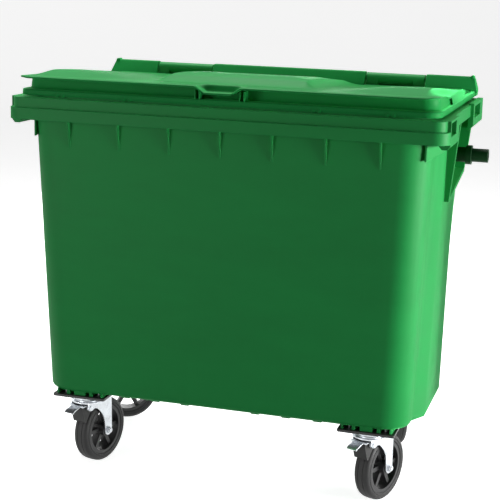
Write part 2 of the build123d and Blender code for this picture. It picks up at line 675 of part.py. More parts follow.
with BuildPart() as ridge:
    ridge_inner_x = HINGE_BLOCK_X[0] - RIDGE_GAP
    ridge_outer_x = HINGE_BLOCK_X[1] + RIDGE_GAP
    sections = (
        (-RIDGE_END_X - RIDGE_END_SPLAY, -ridge_outer_x),
        (-ridge_inner_x, ridge_inner_x),
        (ridge_outer_x, RIDGE_END_X + RIDGE_END_SPLAY),
    )
    for low_x, high_x in sections:
        extrude(side_profile(ridge_profile(0.0), low_x), amount=high_x - low_x)
    splayed_ends = [
        (-RIDGE_END_X - RIDGE_END_SPLAY, LID_FLANGE_Z[0]), (RIDGE_END_X + RIDGE_END_SPLAY, LID_FLANGE_Z[0]),
        (RIDGE_END_X, RIDGE_TOP_Z), (-RIDGE_END_X, RIDGE_TOP_Z),
    ]
    extrude(front_profile(splayed_ends, RIM_HALF_X), amount=RIM_HALF_X, mode=Mode.INTERSECT)
    # Hollow underneath, except for the lugs that hold the pins
    hollows = (
        (-RIDGE_END_X + 4, -ridge_outer_x - RIDGE_LUG - LID_WALL),
        (-ridge_inner_x + RIDGE_LUG + LID_WALL, ridge_inner_x - RIDGE_LUG - LID_WALL),
        (ridge_outer_x + RIDGE_LUG + LID_WALL, RIDGE_END_X - 4),
    )
    for low_x, high_x in hollows:
        extrude(
            side_profile(ridge_profile(LID_WALL), low_x), amount=high_x - low_x, mode=Mode.SUBTRACT
        )

scoop_line = [
    (-SCOOP_HALF_X, LID_FRONT_Z), (-SCOOP_FLOOR_HALF_X, LID_FRONT_Z - SCOOP_DROP),
    (SCOOP_FLOOR_HALF_X, LID_FRONT_Z - SCOOP_DROP), (SCOOP_HALF_X, LID_FRONT_Z),
]
scoop_underline = [(x, z - LID_LIP_THICKNESS) for x, z in reversed(scoop_line)]
scoop_length = LID_CROWN_FRONT_Y - LID_LIP_FRONT_Y

with BuildPart() as lip:
    # The front edge of the top panel overhangs as a grip lip.
    extrude(
        plan(
            LID_LIP_HALF_X, LID_LIP_FRONT_Y, LID_LIP_BACK_Y + LID_CROWN_R, LID_CROWN_R, LID_FLANGE_Z[1]
        ),
        amount=LID_FRONT_Z - LID_FLANGE_Z[1],
    )
    slab = [
        (LID_LIP_FRONT_Y, lid_top_z(LID_LIP_FRONT_Y)), (LID_LIP_BACK_Y, lid_top_z(LID_LIP_BACK_Y)),
        (LID_LIP_BACK_Y, lid_top_z(LID_LIP_BACK_Y) - LID_LIP_THICKNESS),
        (LID_LIP_FRONT_Y, lid_top_z(LID_LIP_FRONT_Y) - LID_LIP_THICKNESS),
    ]
    extrude(side_profile(slab, -RIM_HALF_X), amount=2 * RIM_HALF_X, mode=Mode.INTERSECT)
    # The grab scoop in the middle of the lip
    scoop_cut = scoop_line + [(SCOOP_HALF_X, RIDGE_TOP_Z + 9), (-SCOOP_HALF_X, RIDGE_TOP_Z + 9)]
    extrude(front_profile(scoop_cut, SCOOP_BACK_Y), amount=scoop_length, mode=Mode.SUBTRACT)
    extrude(front_profile(scoop_line + scoop_underline, LID_CROWN_FRONT_Y + 1), amount=scoop_length + 1)

with BuildPart() as lid:
    extrude(lid_flange_plan(0.0, LID_FLANGE_Z[0]), amount=LID_FLANGE_Z[1] - LID_FLANGE_Z[0])
    add([lid_crown(0.0, LID_FLANGE_Z[0] + 8), plateau(0.0), lip.part, ridge.part])
    # Hollow underside
    flange_inside = extrude(
        lid_flange_plan(LID_WALL, LID_FLANGE_Z[0] - 1),
        amount=LID_FLANGE_Z[1] - LID_FLANGE_Z[0] - LID_WALL + 1,
        mode=Mode.PRIVATE,
    )
    add(
        [flange_inside, lid_crown(LID_WALL, LID_FLANGE_Z[0] - 1), plateau(LID_WALL)],
        mode=Mode.SUBTRACT,
    )
    # Rest nubs under the front edge
    with BuildSketch(Plane.XY.offset(RIM_TOP_Z + STOP_CLEARANCE)):
        for stop_x in STOP_XS:
            with Locations((stop_x, LID_FLANGE_FRONT_Y + LID_WALL / 2)):
                Rectangle(2 * STOP_HALF_X, LID_WALL)
    extrude(amount=LID_FLANGE_Z[1] - LID_WALL - RIM_TOP_Z - STOP_CLEARANCE)
    # Pin bores in the lugs
    for side in SIDES:
        with BuildSketch(Plane.YZ.offset(side * (ridge_inner_x - RIDGE_LUG))):
            with Locations((HINGE_Y, HINGE_Z)):
                Circle(HINGE_PIN_R)
        extrude(
            amount=side * (ridge_outer_x - ridge_inner_x + 2 * RIDGE_LUG), mode=Mode.SUBTRACT
        )
lid.part.label = "lid"
export_step(lid.part, "parts/lid.step")

for side, side_name in ((-1, "left"), (1, "right")):
    with BuildPart() as hinge_pin:
        with BuildSketch(Plane.YZ.offset(side * (ridge_inner_x - RIDGE_LUG))):
            with Locations((HINGE_Y, HINGE_Z)):
                Circle(HINGE_PIN_R)
        extrude(amount=side * (ridge_outer_x - ridge_inner_x + 2 * RIDGE_LUG))
    hinge_pin.part.label = "hinge_pin_" + side_name
    export_step(hinge_pin.part, "parts/hinge_pin_" + side_name + ".step")


# ---- Castor pieces ------------------------------------------------------
# Each is made once about its own swivel axis, trailing along +X, and then
# placed four times. The wheel's axle runs along Y.

def make_mount_pad():
    with BuildPart() as pad:
        with BuildSketch(Plane.XY.offset(TOP_PLATE_TOP_Z)):
            RectangleRounded(PAD_X, PAD_Y, 6)
            Circle(KINGPIN_R + 6, mode=Mode.SUBTRACT)
            with GridLocations(BOLT_SPACING_X, BOLT_SPACING_Y, 2, 2):
                Circle(PLATE_BOLT_R + RUNNING_CLEARANCE, mode=Mode.SUBTRACT)
        extrude(amount=PAD_THICKNESS)
    return pad.part


def make_top_plate():
    with BuildPart() as plate:
        with BuildSketch(Plane.XY.offset(TOP_PLATE_Z)):
            RectangleRounded(TOP_PLATE_X, TOP_PLATE_Y, 8)
            with GridLocations(BOLT_SPACING_X, BOLT_SPACING_Y, 2, 2):
                Circle(PLATE_BOLT_R + RUNNING_CLEARANCE, mode=Mode.SUBTRACT)
        extrude(amount=TOP_PLATE_SHEET)
        with BuildSketch(Plane.XY.offset(RACE_Z)):
            Circle(RACE_R)
        extrude(amount=TOP_PLATE_Z - RACE_Z)
        fillet(plate.edges().filter_by(GeomType.CIRCLE).group_by(Axis.Z)[0], 2)
        with BuildSketch(Plane.XY.offset(RACE_Z)):
            Circle(RACE_R - 3)
        extrude(amount=CROWN_DISH_Z + 2 * BALL_R + 2 * RUNNING_CLEARANCE - RACE_Z, mode=Mode.SUBTRACT)
        with BuildSketch(Plane.XY.offset(RACE_Z)):
            Circle(KINGPIN_R)
        extrude(amount=TOP_PLATE_TOP_Z - RACE_Z, mode=Mode.SUBTRACT)
    return plate.part


def make_plate_bolts():
    with BuildPart() as bolts:
        with BuildSketch(Plane.XY.offset(TOP_PLATE_Z - BOLT_HEAD)):
            with GridLocations(BOLT_SPACING_X, BOLT_SPACING_Y, 2, 2):
                RegularPolygon(PLATE_BOLT_R + 3.5, 6)
        extrude(amount=BOLT_HEAD)
        with BuildSketch(Plane.XY.offset(TOP_PLATE_Z)):
            with GridLocations(BOLT_SPACING_X, BOLT_SPACING_Y, 2, 2):
                Circle(PLATE_BOLT_R)
        extrude(amount=PLATE_BOLT_TIP_Z - TOP_PLATE_Z)
    return bolts.part


def make_kingpin():
    with BuildPart() as pin:
        with BuildSketch(Plane.XY.offset(CROWN_Z - STOP_CLEARANCE - KINGPIN_HEAD)):
            RegularPolygon(KINGPIN_R + 4, 6)
        extrude(amount=KINGPIN_HEAD)
        with BuildSketch(Plane.XY.offset(CROWN_Z - STOP_CLEARANCE)):
            Circle(KINGPIN_R)
        extrude(amount=TOP_PLATE_TOP_Z - CROWN_Z + STOP_CLEARANCE)
        with BuildSketch(Plane.XY.offset(TOP_PLATE_TOP_Z)):
            Circle(KINGPIN_R + 4)
        extrude(amount=4)
    return pin.part


def make_ball_cage():
    with BuildPart() as cage:
        with BuildSketch(Plane.XY.offset(BALL_Z - 1)):
            Circle(BALL_CIRCLE_R + 3)
            Circle(BALL_CIRCLE_R - 3, mode=Mode.SUBTRACT)
        extrude(amount=2)
        with Locations((0, 0, BALL_Z)):
            with PolarLocations(BALL_CIRCLE_R, BALL_COUNT):
                Sphere(BALL_R)
    return cage.part


def make_fork():
    with BuildPart() as fork:
        # Crown: a round pressing that widens back over the wheel
        with BuildSketch(Plane.XY.offset(CROWN_Z)):
            Circle(CROWN_R)
            with Locations((FORK_REAR_U / 2, 0)):
                Rectangle(FORK_REAR_U, 2 * (FORK_INNER + FORK_SHEET))
        extrude(amount=FORK_SHEET)
        with BuildSketch(Plane.XY.offset(CROWN_TOP_Z)):
            Circle(RACE_R - 4)
        extrude(amount=CROWN_DISH_Z - CROWN_TOP_Z)
        fillet(fork.edges().filter_by(GeomType.CIRCLE).group_by(Axis.Z)[-1], 2)
        # Legs: straight behind, swept in front, round at the axle
        for side in SIDES:
            with BuildSketch(Plane.XZ.offset(side * FORK_INNER)):
                with BuildLine():
                    top = Line((-CROWN_R + 12, CROWN_TOP_Z), (FORK_REAR_U, CROWN_TOP_Z))
                    rear = Line(top @ 1, (TRAIL + LEG_END_R, WHEEL_R))
                    tip = RadiusArc(rear @ 1, (TRAIL - LEG_END_R, WHEEL_R), LEG_END_R)
                    sweep = Spline(
                        tip @ 1, (32, 152), (4, 183), (-14, 188),
                        tangents=((-0.05, 1), (-1, 0)),
                    )
                    lobe = ThreePointArc(sweep @ 1, (BRAKE_PIN_U + 2, BRAKE_PIN_Z - 9), (-42, 192))
                    Line(lobe @ 1, top @ 0)
                make_face()
                with Locations((TRAIL, WHEEL_R)):
                    Circle(AXLE_R + RUNNING_CLEARANCE, mode=Mode.SUBTRACT)
                with Locations((BRAKE_PIN_U, BRAKE_PIN_Z)):
                    Circle(BRAKE_PIN_R + RUNNING_CLEARANCE, mode=Mode.SUBTRACT)
            extrude(amount=side * FORK_SHEET)
        with BuildSketch(Plane.XY.offset(CROWN_Z - 1)):
            Circle(KINGPIN_R + RUNNING_CLEARANCE)
        extrude(amount=CROWN_DISH_Z - CROWN_Z + 2, mode=Mode.SUBTRACT)
    return fork.part


def make_axle_bolt():
    grip = FORK_INNER + FORK_SHEET
    with BuildPart() as bolt:
        with BuildSketch(Plane.XZ.offset(-grip)):
            with Locations((TRAIL, WHEEL_R)):
                Circle(AXLE_R)
        extrude(amount=2 * grip)
        with BuildSketch(Plane.XZ.offset(-grip - BOLT_HEAD)):
            with Locations((TRAIL, WHEEL_R)):
                RegularPolygon(AXLE_R + 4, 6)
        extrude(amount=BOLT_HEAD)
        with BuildSketch(Plane.XZ.offset(grip)):
            with Locations((TRAIL, WHEEL_R)):
                RegularPolygon(AXLE_R + 4, 6)
        extrude(amount=BOLT_HEAD)
        with BuildSketch(Plane.XZ.offset(grip + BOLT_HEAD)):
            with Locations((TRAIL, WHEEL_R)):
                Circle(AXLE_R)
        extrude(amount=3)
    return bolt.part


def make_axle_sleeve():
    with BuildPart() as sleeve:
        with BuildSketch(Plane.XZ.offset(-FORK_INNER)):
            with Locations((TRAIL, WHEEL_R)):
                Circle(SLEEVE_R - RUNNING_CLEARANCE)
                Circle(AXLE_R + RUNNING_CLEARANCE, mode=Mode.SUBTRACT)
        extrude(amount=2 * FORK_INNER)
    return sleeve.part


def make_wheel_rim():
    spoke_root_r = HUB_R - 3
    spoke_length = RIM_BAND_R + 2 - spoke_root_r
    with BuildPart() as wheel:
        with BuildSketch(Plane.XZ.offset(-HUB_HALF_WIDTH)):
            with Locations((TRAIL, WHEEL_R)):
                Circle(HUB_R)
        extrude(amount=2 * HUB_HALF_WIDTH)
        with BuildSketch(Plane.XZ.offset(-RIM_HALF_WIDTH)):
            with Locations((TRAIL, WHEEL_R)):
                Circle(TYRE_INNER_R)
                Circle(RIM_BAND_R, mode=Mode.SUBTRACT)
        extrude(amount=2 * RIM_HALF_WIDTH)
        with BuildSketch(Plane.XZ.offset(-SPOKE_HALF_WIDTH)):
            with Locations((TRAIL, WHEEL_R)):
                with PolarLocations(spoke_root_r + spoke_length / 2, SPOKE_COUNT):
                    Rectangle(spoke_length, SPOKE_THICKNESS)
        extrude(amount=2 * SPOKE_HALF_WIDTH)
        with BuildSketch(Plane.XZ.offset(-HUB_HALF_WIDTH - 1)):
            with Locations((TRAIL, WHEEL_R)):
                Circle(SLEEVE_R)
        extrude(amount=2 * HUB_HALF_WIDTH + 2, mode=Mode.SUBTRACT)
    return wheel.part


def make_tyre():
    half = TYRE_WIDTH / 2
    with BuildPart() as tyre:
        # Half section: radius along X from the axle, width along Y
        with BuildSketch(Plane.XY.offset(WHEEL_R)):
            with BuildLine():
                base = Line((TRAIL + TYRE_INNER_R, -half + 2), (TRAIL + TYRE_INNER_R, half - 2))
                bead = Line(base @ 1, (TRAIL + TYRE_INNER_R + 3, half))
                wall = Line(bead @ 1, (TRAIL + WHEEL_R - 13, half))
                right_shoulder = ThreePointArc(
                    wall @ 1, (TRAIL + WHEEL_R - 4, half - 4), (TRAIL + WHEEL_R - 0.6, half - 12)
                )
                tread = ThreePointArc(
                    right_shoulder @ 1, (TRAIL + WHEEL_R, 0), (TRAIL + WHEEL_R - 0.6, -half + 12)
                )
                left_shoulder = ThreePointArc(
                    tread @ 1, (TRAIL + WHEEL_R - 4, -half + 4), (TRAIL + WHEEL_R - 13, -half)
                )
                left_wall = Line(left_shoulder @ 1, (TRAIL + TYRE_INNER_R + 3, -half))
                Line(left_wall @ 1, base @ 0)
            make_face()
            for groove_y in (-8.0, 8.0):
                with Locations((TRAIL + WHEEL_R, groove_y)):
                    Circle(1.6, mode=Mode.SUBTRACT)
            for wall_y in (-half, half):
                with Locations((TRAIL + TYRE_INNER_R + 8, wall_y)):
                    Circle(1.4, mode=Mode.SUBTRACT)
        revolve(axis=Axis((TRAIL, 0, WHEEL_R), (0, 1, 0)))
    return tyre.part


def make_brake_lever():
    arm_low = BRAKE_ARM_Z - BRAKE_ARM_SHEET
    with BuildPart() as lever:
        with BuildSketch(Plane.XZ.offset(-BRAKE_HALF_WIDTH)):
            Polygon(
                [
                    (-14, arm_low), (-14, BRAKE_ARM_Z), (-56, BRAKE_ARM_Z), (-88, BRAKE_ARM_Z - 9),
                    (-93, BRAKE_ARM_Z - 14), (-90, BRAKE_ARM_Z - 16), (-86, arm_low - 9), (-56, arm_low),
                ],
                align=None,
            )
        extrude(amount=2 * BRAKE_HALF_WIDTH)
        for side in SIDES:
            with BuildSketch(Plane.XZ.offset(side * (BRAKE_HALF_WIDTH - BRAKE_ARM_SHEET))):
                with Locations((BRAKE_PIN_U, BRAKE_PIN_Z)):
                    Circle(8)
                with Locations((BRAKE_PIN_U, BRAKE_ARM_Z - 4)):
                    Rectangle(16, 8)
                with Locations((BRAKE_PIN_U, BRAKE_PIN_Z)):
                    Circle(BRAKE_PIN_R + RUNNING_CLEARANCE, mode=Mode.SUBTRACT)
            extrude(amount=side * BRAKE_ARM_SHEET)
        with BuildSketch(Plane.XY.offset(BRAKE_ARM_Z - 30)):
            for side in SIDES:
                with Locations((-77, side * (BRAKE_HALF_WIDTH - 3))):
                    Rectangle(38, 15)
        extrude(amount=40, mode=Mode.SUBTRACT)
    return lever.part


def make_brake_shoe():
    with BuildPart() as shoe:
        with BuildSketch(Plane.XZ.offset(-BRAKE_SHOE_HALF_WIDTH)):
            Polygon(
                [
                    (-14, BRAKE_ARM_Z - BRAKE_ARM_SHEET), (-56, BRAKE_ARM_Z - BRAKE_ARM_SHEET),
                    (-56, 188), (-42, 148), (-36, 146), (0, 176), (-14, 190),
                ],
                align=None,
            )
            with Locations((TRAIL, WHEEL_R)):
                Circle(WHEEL_R + BRAKE_GAP, mode=Mode.SUBTRACT)
            with Locations((BRAKE_PIN_U, BRAKE_PIN_Z)):
                Circle(BRAKE_PIN_R + 2 * RUNNING_CLEARANCE, mode=Mode.SUBTRACT)
        extrude(amount=2 * BRAKE_SHOE_HALF_WIDTH)
    return shoe.part


def make_brake_pin():
    grip = FORK_INNER + FORK_SHEET
    with BuildPart() as pin:
        with BuildSketch(Plane.XZ.offset(-grip)):
            with Locations((BRAKE_PIN_U, BRAKE_PIN_Z)):
                Circle(BRAKE_PIN_R)
        extrude(amount=2 * grip)
        for side in SIDES:
            with BuildSketch(Plane.XZ.offset(side * grip)):
                with Locations((BRAKE_PIN_U, BRAKE_PIN_Z)):
                    Circle(BRAKE_PIN_R + 3)
            extrude(amount=side * 3)
    return pin.part


fixed_pieces = {
    "mount_pad": make_mount_pad(),
    "top_plate": make_top_plate(),
    "plate_bolts": make_plate_bolts(),
    "kingpin": make_kingpin(),
    "ball_cage": make_ball_cage(),
}
swivel_pieces = {
    "fork": make_fork(),
    "axle_bolt": make_axle_bolt(),
    "axle_sleeve": make_axle_sleeve(),
    "wheel_rim": make_wheel_rim(),
    "tyre": make_tyre(),
}
brake_pieces = {
    "brake_lever": make_brake_lever(),
    "brake_shoe": make_brake_shoe(),
    "brake_pin": make_brake_pin(),
}

for castor_name, castor_x, castor_y, trail_angle, braked in CASTORS:
    position = (castor_x, castor_y, 0)
    square = Location(position)
    turned = Location(position, (0, 0, trail_angle))
    placed = {name: square * piece for name, piece in fixed_pieces.items()}
    placed.update({name: turned * piece for name, piece in swivel_pieces.items()})
    if braked:
        placed.update({name: turned * piece for name, piece in brake_pieces.items()})
    for name, piece in placed.items():
        piece.label = castor_name + "_" + name
        export_step(piece, "parts/" + castor_name + "_" + name + ".step")
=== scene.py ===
"""The wheelie bin's looks: materials for every CAD piece, the lid's finer shell, and the studio."""

import math

import bmesh
import bpy
import numpy as np
from mathutils import Matrix, Vector


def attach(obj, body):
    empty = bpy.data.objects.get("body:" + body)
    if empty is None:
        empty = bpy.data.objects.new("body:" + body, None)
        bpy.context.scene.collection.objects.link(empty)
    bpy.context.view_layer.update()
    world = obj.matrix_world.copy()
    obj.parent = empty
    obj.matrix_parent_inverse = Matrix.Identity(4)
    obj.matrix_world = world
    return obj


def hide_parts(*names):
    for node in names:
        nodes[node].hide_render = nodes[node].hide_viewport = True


MM = 0.001

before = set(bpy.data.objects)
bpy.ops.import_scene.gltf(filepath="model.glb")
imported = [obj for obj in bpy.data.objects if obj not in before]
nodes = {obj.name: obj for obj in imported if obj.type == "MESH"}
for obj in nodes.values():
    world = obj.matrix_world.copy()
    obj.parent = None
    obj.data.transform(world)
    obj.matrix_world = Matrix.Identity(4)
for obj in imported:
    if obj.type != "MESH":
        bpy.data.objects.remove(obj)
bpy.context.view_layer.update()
scene = bpy.context.scene


# ---- Node helpers -------------------------------------------------------

def new_material(name):
    mat = bpy.data.materials.new(name)
    mat.use_nodes = True
    tree = mat.node_tree
    return mat, tree, tree.nodes["Principled BSDF"]


def add(tree, kind, **inputs):
    node = tree.nodes.new(kind)
    for key, value in inputs.items():
        node.inputs[key.replace("_", " ")].default_value = value
    return node


def place(tree, scale):
    """Object coordinates, stretched."""
    coord = tree.nodes.new("ShaderNodeTexCoord")
    mapping = tree.nodes.new("ShaderNodeMapping")
    mapping.inputs["Scale"].default_value = scale
    tree.links.new(coord.outputs["Object"], mapping.inputs["Vector"])
    return mapping.outputs["Vector"]


def noise(tree, scale, size, detail=3.0, rough=0.55):
    tex = add(tree, "ShaderNodeTexNoise", Scale=size, Detail=detail, Roughness=rough)
    tree.links.new(place(tree, scale), tex.inputs["Vector"])
    return tex.outputs["Fac"]


def remap(tree, value, low, high, out_low, out_high):
    node = tree.nodes.new("ShaderNodeMapRange")
    for socket, number in zip(node.inputs[1:5], (low, high, out_low, out_high)):
        socket.default_value = number
    tree.links.new(value, node.inputs["Value"])
    return node.outputs["Result"]


def mix(tree, factor, first, second, blend="MIX"):
    node = tree.nodes.new("ShaderNodeMix")
    node.data_type = "RGBA"
    node.blend_type = blend
    sockets = (node.inputs[0], node.inputs[6], node.inputs[7])
    for socket, value in zip(sockets, (factor, first, second)):
        if isinstance(value, bpy.types.NodeSocket):
            tree.links.new(value, socket)
        else:
            socket.default_value = value
    return node.outputs[2]


def combine(tree, operation, first, second):
    node = tree.nodes.new("ShaderNodeMath")
    node.operation = operation
    for socket, value in zip(node.inputs, (first, second)):
        if isinstance(value, bpy.types.NodeSocket):
            tree.links.new(value, socket)
        else:
            socket.default_value = value
    return node.outputs[0]


def soft_edge(tree, radius):
    """A normal rounded over the edges, and a mask that is 1 along them."""
    bevel = tree.nodes.new("ShaderNodeBevel")
    bevel.samples = 6
    bevel.inputs["Radius"].default_value = radius
    geometry = tree.nodes.new("ShaderNodeNewGeometry")
    dot = tree.nodes.new("ShaderNodeVectorMath")
    dot.operation = "DOT_PRODUCT"
    tree.links.new(bevel.outputs["Normal"], dot.inputs[0])
    tree.links.new(geometry.outputs["Normal"], dot.inputs[1])
    return bevel.outputs["Normal"], remap(tree, dot.outputs["Value"], 0.995, 0.80, 0.0, 1.0)


def bump(tree, height, distance, strength, normal=None):
    node = tree.nodes.new("ShaderNodeBump")
    node.inputs["Distance"].default_value = distance
    node.inputs["Strength"].default_value = strength
    tree.links.new(height, node.inputs["Height"])
    if normal is not None:
        tree.links.new(normal, node.inputs["Normal"])
    return node.outputs["Normal"]


# ---- Materials ----------------------------------------------------------

SHEEN_ROUGHNESS = 0.42
SHEEN_TINT = (0.12, 1.0, 0.27, 1)
GRAIN_DEPTH = 0.0002
GRAIN_STRENGTH = 0.25


def moulded_plastic(name, base, edge, rough, radius=0.003, specular=0.5, sheen=0.0):
    """Injection-moulded plastic: fine grain, faint flow marks, edges lighter: partly rubbed wear, partly
    a painted edge highlight.
    """
    mat, tree, bsdf = new_material(name)
    flow = noise(tree, (0.9, 0.9, 2.6), 2.2, 4.0, 0.6)
    draw = noise(tree, (14.0, 14.0, 0.5), 4.0, 2.0, 0.5)
    grain_height = noise(tree, (1, 1, 1), 620.0, 2.0, 0.6)
    rounded, edge_mask = soft_edge(tree, radius)
    dark = tuple(0.90 * c for c in base[:3]) + (1,)
    light = tuple(min(1.0, 1.09 * c + 0.001) for c in base[:3]) + (1,)
    body = mix(tree, remap(tree, flow, 0.3, 0.7, 0.0, 1.0), dark, light)
    body = mix(tree, remap(tree, draw, 0.35, 0.75, 0.0, 0.14), body, light)
    patches = remap(tree, noise(tree, (1, 1, 1), 45.0), 0.3, 0.65, 0.35, 0.8)
    # Painted highlight: the edge mask lightens the edges, partly as wear and partly in place of edge
    # highlights.
    edge_wear_and_highlight = combine(tree, "MULTIPLY", edge_mask, patches)
    tree.links.new(mix(tree, edge_wear_and_highlight, body, edge), bsdf.inputs["Base Color"])
    rough_socket = combine(
        tree, "ADD",
        remap(tree, flow, 0.3, 0.7, rough - 0.05, rough + 0.05),
        remap(tree, grain_height, 0.3, 0.7, -0.03, 0.05),
    )
    tree.links.new(rough_socket, bsdf.inputs["Roughness"])
    bsdf.inputs["Specular IOR Level"].default_value = specular
    bsdf.inputs["Sheen Weight"].default_value = sheen
    bsdf.inputs["Sheen Roughness"].default_value = SHEEN_ROUGHNESS
    bsdf.inputs["Sheen Tint"].default_value = SHEEN_TINT
    grained = bump(tree, grain_height, GRAIN_DEPTH, GRAIN_STRENGTH, rounded)
    tree.links.new(grained, bsdf.inputs["Normal"])
    return mat


SPANGLE_GLINT = (0.92, 0.94, 0.97, 1)
STEEL_EDGE = (0.95, 0.96, 0.98, 1)


def plated_steel(name, base, rough, radius=0.001):
    """Zinc-plated pressed steel: a soft spangle, faint rolling lines and brighter edges."""
    mat, tree, bsdf = new_material(name)
    spangle = tree.nodes.new("ShaderNodeTexVoronoi")
    spangle.inputs["Scale"].default_value = 130.0
    tree.links.new(place(tree, (1, 1, 1)), spangle.inputs["Vector"])
    cells = spangle.outputs["Distance"]
    clouds = noise(tree, (1, 1, 1), 26.0, 4.0, 0.6)
    rolled = noise(tree, (6, 6, 90), 14.0, 2.0, 0.5)
    rounded, edge_mask = soft_edge(tree, radius)
    dull = tuple(0.70 * c for c in base[:3]) + (1,)
    body = mix(tree, remap(tree, clouds, 0.3, 0.7, 0.0, 1.0), dull, base)
    body = mix(tree, remap(tree, cells, 0.0, 0.6, 0.0, 0.25), body, SPANGLE_GLINT)
    tree.links.new(mix(tree, edge_mask, body, STEEL_EDGE), bsdf.inputs["Base Color"])
    bsdf.inputs["Metallic"].default_value = 1.0
    tree.links.new(remap(tree, clouds, 0.3, 0.7, rough - 0.08, rough + 0.12), bsdf.inputs["Roughness"])
    tree.links.new(bump(tree, rolled, 0.0002, 0.2, rounded), bsdf.inputs["Normal"])
    return mat


def tyre_rubber(name, base, dust, rough):
    """Solid rubber with a dusty bloom and a fine crazed skin."""
    mat, tree, bsdf = new_material(name)
    bloom = noise(tree, (1, 1, 1), 18.0, 5.0, 0.65)
    skin = noise(tree, (1, 1, 1), 480.0, 3.0, 0.6)
    rounded, edge_mask = soft_edge(tree, 0.0015)
    body = mix(tree, remap(tree, bloom, 0.42, 0.75, 0.0, 0.55), base, dust)
    edge_wear_and_highlight = combine(tree, "MULTIPLY", edge_mask, 0.5)
    tree.links.new(mix(tree, edge_wear_and_highlight, body, dust), bsdf.inputs["Base Color"])
    tree.links.new(remap(tree, bloom, 0.3, 0.7, rough - 0.08, rough + 0.1), bsdf.inputs["Roughness"])
    bsdf.inputs["Specular IOR Level"].default_value = 0.4
    tree.links.new(bump(tree, skin, 0.0003, 0.35, rounded), bsdf.inputs["Normal"])
    return mat


GREEN = (0.008, 0.265, 0.052, 1)
# Edge colour: partly rubbed wear, partly a painted edge highlight.
GREEN_EDGE_WEAR_AND_HIGHLIGHT = (0.03, 0.40, 0.11, 1)
hdpe = moulded_plastic(
    "green_polyethylene", GREEN, GREEN_EDGE_WEAR_AND_HIGHLIGHT, 0.50, radius=0.0035, specular=0.16, sheen=1.0
)
lid_plastic = moulded_plastic(
    "green_lid_polyethylene", GREEN, GREEN_EDGE_WEAR_AND_HIGHLIGHT, 0.50, radius=0.0022, specular=0.07, sheen=0.8
)
dark_green = moulded_plastic(
    "dark_green_nylon", (0.001, 0.032, 0.006, 1), (0.004, 0.09, 0.022, 1), 0.42, radius=0.0015,
    specular=0.14,
)
black_plastic = moulded_plastic(
    "black_polypropylene", (0.011, 0.011, 0.0115, 1), (0.05, 0.05, 0.052, 1), 0.46, radius=0.0015
)
zinc = plated_steel("zinc_plate", (0.66, 0.69, 0.73, 1), 0.30)
bright_steel = plated_steel("turned_steel", (0.56, 0.57, 0.60, 1), 0.26)
rubber = tyre_rubber("brake_rubber", (0.012, 0.012, 0.012, 1), (0.04, 0.04, 0.038, 1), 0.62)
tyre = tyre_rubber("tyre_rubber", (0.0085, 0.0085, 0.0088, 1), (0.034, 0.033, 0.031, 1), 0.56)

NODE_MATERIALS = {
    "bin_body": hdpe,
    "drain_plug": black_plastic,
    "hinge_pin_left": dark_green,
    "hinge_pin_right": dark_green,
    "trunnion_left": dark_green,
    "trunnion_right": dark_green,
    "trunnion_bolt_left": zinc,
    "trunnion_bolt_right": zinc,
}
PIECE_MATERIALS = {
    "mount_pad": black_plastic, "top_plate": zinc, "plate_bolts": zinc, "kingpin": zinc,
    "ball_cage": bright_steel, "fork": zinc, "axle_bolt": zinc, "axle_sleeve": bright_steel,
    "wheel_rim": black_plastic, "tyre": tyre, "brake_lever": zinc, "brake_shoe": rubber,
    "brake_pin": zinc,
}


WELD_DISTANCE = 0.00001
SMOOTH_ANGLE = 30.0
RIDGE_SMOOTH_ANGLE = 28.0


def dress(name, material):
    """Gives a CAD node its material, and smooth shading that breaks at real edges."""
    obj = nodes[name]
    obj.data.materials.clear()
    obj.data.materials.append(material)
    obj.data.polygons.foreach_set("use_smooth", [True] * len(obj.data.polygons))
    weld = obj.modifiers.new("weld", "WELD")
    weld.merge_threshold = WELD_DISTANCE
    split = obj.modifiers.new("split", "EDGE_SPLIT")
    split.split_angle = math.radians(SMOOTH_ANGLE)


for node_name in nodes:
    if node_name in NODE_MATERIALS:
        dress(node_name, NODE_MATERIALS[node_name])
    for piece_name, piece_material in PIECE_MATERIALS.items():
        if node_name.endswith("_" + piece_name):
            dress(node_name, piece_material)


# ---- The lid's shell ----------------------------------------------------
# Millimetres, in the part's own frame: the front faces -Y.

LIP_FRONT = -387.0
REAR = 345.0
FRONT_Z = 1194.0
REAR_Z = 1156.0
LEDGE_Z = 1154.0
LIP_THICK = 5.0
FACET_FRONT = -128.0        # the slit at the end of each side lip
FACET_REAR = 336.0
EDGE_HALF_X = 603.0         # the lid's side edge behind the slits
CORNER_R = 44.0
REAR_CORNER_R = 10.0
LIP_HALF_X = 599.0
LIP_RING_FRONT = -386.0
CAP_MIDDLE = 364.6          # how far in the last ring of the top goes
LINING_HALF_X = 581.0
LINING_FRONT = -324.0
LINING_REAR = 338.0
LINING_MIDDLE = 330.4
DOME_HEIGHT = 17.5
PLATEAU_HEIGHT = 18.5
PLATEAU_FALL = 7.0
SCOOP_DEPTH = 17.0


def ramp(value, start, end):
    """0 before start, 1 after end, smooth between."""
    t = np.clip((value - start) / (end - start), 0.0, 1.0)
    return t * t * (3.0 - 2.0 * t)


def plain_top(y):
    return FRONT_Z + (REAR_Z - FRONT_Z) * (y - LIP_FRONT) / (REAR - LIP_FRONT)


